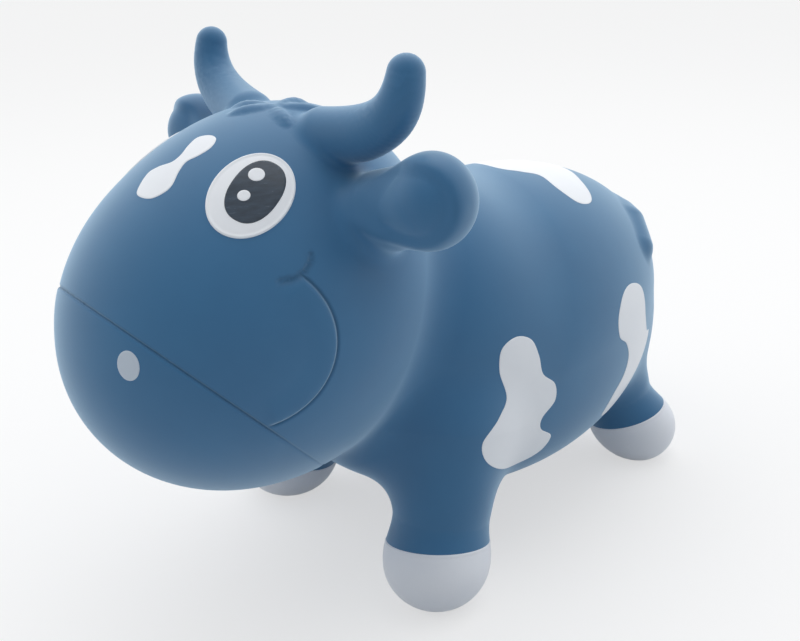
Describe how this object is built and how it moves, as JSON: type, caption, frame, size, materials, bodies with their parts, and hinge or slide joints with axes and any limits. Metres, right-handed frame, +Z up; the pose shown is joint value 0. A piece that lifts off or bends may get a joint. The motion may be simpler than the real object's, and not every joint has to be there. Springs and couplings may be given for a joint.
{
  "type": "bouncy ride-on animal",
  "caption": "Inflated ride-on cow in soft blue PVC with curved horns to hold, round ears, white patches, big eyes and white hooves.",
  "frame": {"origin": "on the floor, under the middle of the cow's bounding box", "axes": "+Z up, -Y the way the cow faces, +X the cow's left"},
  "size_m": [0.3264, 0.5512, 0.4146],
  "materials": {
    "skin_pvc": "soft matte PVC skin",
    "white_paint": "sprayed matte vinyl paint",
    "hoof_paint": "PVC skin with sprayed matte vinyl paint",
    "pupil_paint": "glossy navy vinyl paint",
    "valve_plastic": "smooth semi-rigid plastic"
  },
  "bodies": {
    "skin": {"back_patch": "white_paint", "blaze_patch": "white_paint", "forelock": "skin_pvc", "front_left_leg": "skin_pvc", "front_right_leg": "skin_pvc", "head_shell": "skin_pvc", "left_ear": "skin_pvc", "left_eye_white": "white_paint", "left_flank_patch": "white_paint", "left_haunch_patch": "white_paint", "left_horn": "skin_pvc", "left_lower_glint": "white_paint", "left_nostril": "hoof_paint", "left_pupil": "pupil_paint", "left_upper_glint": "white_paint", "rear_left_leg": "skin_pvc", "rear_right_leg": "skin_pvc", "right_ear": "skin_pvc", "right_eye_white": "white_paint", "right_flank_patch": "white_paint", "right_haunch_patch": "white_paint", "right_horn": "skin_pvc", "right_lower_glint": "white_paint", "right_nostril": "hoof_paint", "right_pupil": "pupil_paint", "right_upper_glint": "white_paint", "tail": "skin_pvc", "torso_shell": "skin_pvc", "valve_collar": "skin_pvc"},
    "front_left_hoof_unit": {"front_left_hoof": "hoof_paint"},
    "front_right_hoof_unit": {"front_right_hoof": "hoof_paint"},
    "rear_left_hoof_unit": {"rear_left_hoof": "hoof_paint"},
    "rear_right_hoof_unit": {"rear_right_hoof": "hoof_paint"},
    "plug": {"valve_plug": "valve_plastic"}
  },
  "joints": [
    {"name": "front_left_leg_squash", "type": "slide", "parent": "skin", "child": "front_left_hoof_unit", "axis": [0, 0, 1], "range_m": [0, 0.015], "stiffness_N_per_m": 3000, "springref_m": -0.003, "deforming": ["front_left_leg"]},
    {"name": "front_right_leg_squash", "type": "slide", "parent": "skin", "child": "front_right_hoof_unit", "axis": [0, 0, 1], "range_m": [0, 0.015], "stiffness_N_per_m": 3000, "springref_m": -0.003, "deforming": ["front_right_leg"]},
    {"name": "rear_left_leg_squash", "type": "slide", "parent": "skin", "child": "rear_left_hoof_unit", "axis": [0, 0, 1], "range_m": [0, 0.015], "stiffness_N_per_m": 3000, "springref_m": -0.003, "deforming": ["rear_left_leg"]},
    {"name": "rear_right_leg_squash", "type": "slide", "parent": "skin", "child": "rear_right_hoof_unit", "axis": [0, 0, 1], "range_m": [0, 0.015], "stiffness_N_per_m": 3000, "springref_m": -0.003, "deforming": ["rear_right_leg"]},
    {"name": "valve_plug_pull", "type": "slide", "parent": "skin", "child": "plug", "axis": [0, 0, -1], "range_m": [0, 0.035]}
  ]
}
